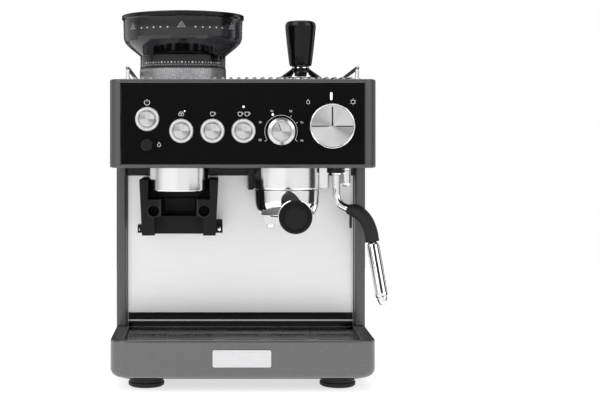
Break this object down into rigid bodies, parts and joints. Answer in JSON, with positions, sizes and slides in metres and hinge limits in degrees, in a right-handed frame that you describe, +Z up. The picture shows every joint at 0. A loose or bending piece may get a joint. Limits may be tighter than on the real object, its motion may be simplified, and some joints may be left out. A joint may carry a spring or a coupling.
{
  "type": "espresso machine",
  "caption": "Manual espresso machine with a built-in grinder: bean hopper, brew group with a portafilter, steam wand, water tank and drip tray.",
  "frame": {"origin": "centre of the bounding box's footprint, on the surface that the machine stands on", "axes": "+Z up, the machine's front with the portafilter handle faces -Y, +X to the right as seen from the front"},
  "size_m": [0.3386, 0.4496, 0.4762],
  "materials": {
    "black_plastic": "fine moulded texture",
    "rubber": "matt",
    "base_paint": "metallic grey, satin",
    "housing_paint": "dark metallic grey, satin",
    "brushed_steel": "brushed",
    "polished_steel": "polished",
    "mirror_steel": "mirror polished",
    "panel_gloss": "high gloss black",
    "black_gloss": "gloss black",
    "chrome": "polished",
    "spun_steel": "spun, with fine circular lines",
    "circuit_board": "solder mask",
    "aluminium": "cast",
    "smoked_plastic": "smoked transparent plastic, clear and glossy",
    "grey_metal": "textured grey",
    "burr_steel": "ground",
    "silicone": "matt",
    "tank_plastic": "smoked transparent plastic"
  },
  "bodies": {
    "frame": {"base_pan": "black_plastic", "foot_front_left": "rubber", "foot_front_right": "rubber", "foot_rear_left": "rubber", "foot_rear_right": "rubber", "cord_gland": "rubber", "side_panel_left": "housing_paint", "side_panel_right": "housing_paint", "splash_panel": "mirror_steel", "back_panel": "black_plastic", "upper_housing": "housing_paint", "front_panel": "panel_gloss", "top_plate": "brushed_steel", "underside_panel": "black_gloss", "cup_rail_left": "chrome", "cup_rail_right": "chrome", "button_frame": "chrome", "control_board": "circuit_board", "steam_valve": "aluminium", "hopper_seat_ring": "grey_metal", "burr_chamber": "aluminium", "grinder_motor": "black_plastic", "grinder_collar": "chrome", "portafilter_cradle": "black_plastic", "group_collar": "chrome", "group_head": "aluminium", "group_gasket": "silicone", "shower_screen": "polished_steel", "hot_water_spout": "chrome", "pump": "black_plastic", "thermoblock": "aluminium"},
    "power_button": {"power_button": "spun_steel"},
    "grind_button": {"grind_button": "spun_steel"},
    "single_cup_button": {"single_cup_button": "spun_steel"},
    "double_cup_button": {"double_cup_button": "spun_steel"},
    "grind_dial": {"grind_dial": "black_gloss"},
    "temperature_dial": {"temperature_dial": "spun_steel"},
    "steam_knob": {"steam_knob": "spun_steel"},
    "hopper": {"hopper_body": "smoked_plastic", "upper_burr": "burr_steel"},
    "hopper_lid": {"hopper_lid": "smoked_plastic"},
    "hopper_gate": {"hopper_gate": "black_plastic"},
    "lower_burr": {"lower_burr": "burr_steel"},
    "cradle_switch": {"cradle_switch": "black_plastic"},
    "portafilter": {"portafilter_body": "chrome", "portafilter_spout": "chrome", "portafilter_handle": "black_gloss", "handle_ring": "chrome", "filter_basket": "polished_steel"},
    "wand_ball": {"steam_ball": "chrome"},
    "steam_wand": {"steam_wand_tube": "chrome", "steam_wand_grip": "rubber", "steam_tip": "chrome"},
    "water_tank": {"water_tank": "tank_plastic"},
    "tank_lid": {"tank_lid": "black_plastic"},
    "drip_tray": {"drip_tray": "base_paint", "badge_plate": "brushed_steel"},
    "drip_grid": {"drip_grid": "polished_steel"},
    "tamper": {"tamper_base": "chrome", "tamper_handle": "black_gloss"}
  },
  "joints": [
    {"name": "power_button_press", "type": "slide", "parent": "frame", "child": "power_button", "axis": [0, 1, 0], "range_m": [0, 0.0015], "stiffness_N_per_m": 500},
    {"name": "grind_button_press", "type": "slide", "parent": "frame", "child": "grind_button", "axis": [0, 1, 0], "range_m": [0, 0.0015], "stiffness_N_per_m": 500},
    {"name": "single_cup_button_press", "type": "slide", "parent": "frame", "child": "single_cup_button", "axis": [0, 1, 0], "range_m": [0, 0.0015], "stiffness_N_per_m": 500},
    {"name": "double_cup_button_press", "type": "slide", "parent": "frame", "child": "double_cup_button", "axis": [0, 1, 0], "range_m": [0, 0.0015], "stiffness_N_per_m": 500},
    {"name": "grind_dial_turn", "type": "hinge", "parent": "frame", "child": "grind_dial", "pos_m": [-0.1232, -0.10772, 0.3023], "axis": [0, 1, 0], "range_deg": [-135, 135]},
    {"name": "temperature_dial_turn", "type": "hinge", "parent": "frame", "child": "temperature_dial", "pos_m": [0.0393, -0.10772, 0.3185], "axis": [0, 1, 0], "range_deg": [-108, 152]},
    {"name": "steam_knob_turn", "type": "hinge", "parent": "frame", "child": "steam_knob", "pos_m": [0.1002, -0.10772, 0.325], "axis": [0, 1, 0], "range_deg": [-50, 50]},
    {"name": "hopper_turn", "type": "hinge", "parent": "frame", "child": "hopper", "pos_m": [-0.0826, 0.01728, 0.4], "axis": [0, 0, 1], "range_deg": [-35, 35]},
    {"name": "hopper_lid_lift", "type": "slide", "parent": "hopper", "child": "hopper_lid", "axis": [0, 0, 1], "range_m": [0, 0.05]},
    {"name": "hopper_gate_turn", "type": "hinge", "parent": "hopper", "child": "hopper_gate", "pos_m": [-0.0826, 0.01728, 0.4114], "axis": [0, 0, 1], "range_deg": [0, 90]},
    {"name": "lower_burr_spin", "type": "hinge", "parent": "frame", "child": "lower_burr", "pos_m": [-0.0826, 0.01728, 0.35], "axis": [0, 0, 1], "continuous": true},
    {"name": "cradle_switch_press", "type": "slide", "parent": "frame", "child": "cradle_switch", "axis": [0, 1, 0], "range_m": [0, 0.003], "stiffness_N_per_m": 300},
    {"name": "portafilter_twist", "type": "hinge", "parent": "frame", "child": "portafilter", "pos_m": [0.0498, -0.05272, 0.2465], "axis": [0, 0, 1], "range_deg": [-45, 0]},
    {"name": "wand_tilt", "type": "hinge", "parent": "frame", "child": "wand_ball", "pos_m": [0.1122, -0.04772, 0.2675], "axis": [1, 0, 0], "range_deg": [-25, 10]},
    {"name": "wand_swivel", "type": "hinge", "parent": "wand_ball", "child": "steam_wand", "pos_m": [0.1122, -0.04772, 0.2675], "axis": [0, 0, 1], "range_deg": [-60, 40]},
    {"name": "tank_lift", "type": "slide", "parent": "frame", "child": "water_tank", "axis": [0, 0, 1], "range_m": [0, 0.2]},
    {"name": "tank_lid_open", "type": "hinge", "parent": "water_tank", "child": "tank_lid", "pos_m": [-0.0068, 0.15929, 0.334], "axis": [1, 0, 0], "range_deg": [0, 90]},
    {"name": "drip_tray_slide", "type": "slide", "parent": "frame", "child": "drip_tray", "axis": [0, -1, 0], "range_m": [0, 0.12]},
    {"name": "drip_grid_lift", "type": "slide", "parent": "drip_tray", "child": "drip_grid", "axis": [0, 0, 1], "range_m": [0, 0.04]},
    {"name": "tamper_lift", "type": "slide", "parent": "frame", "child": "tamper", "axis": [0, 0, 1], "range_m": [0, 0.06]}
  ]
}
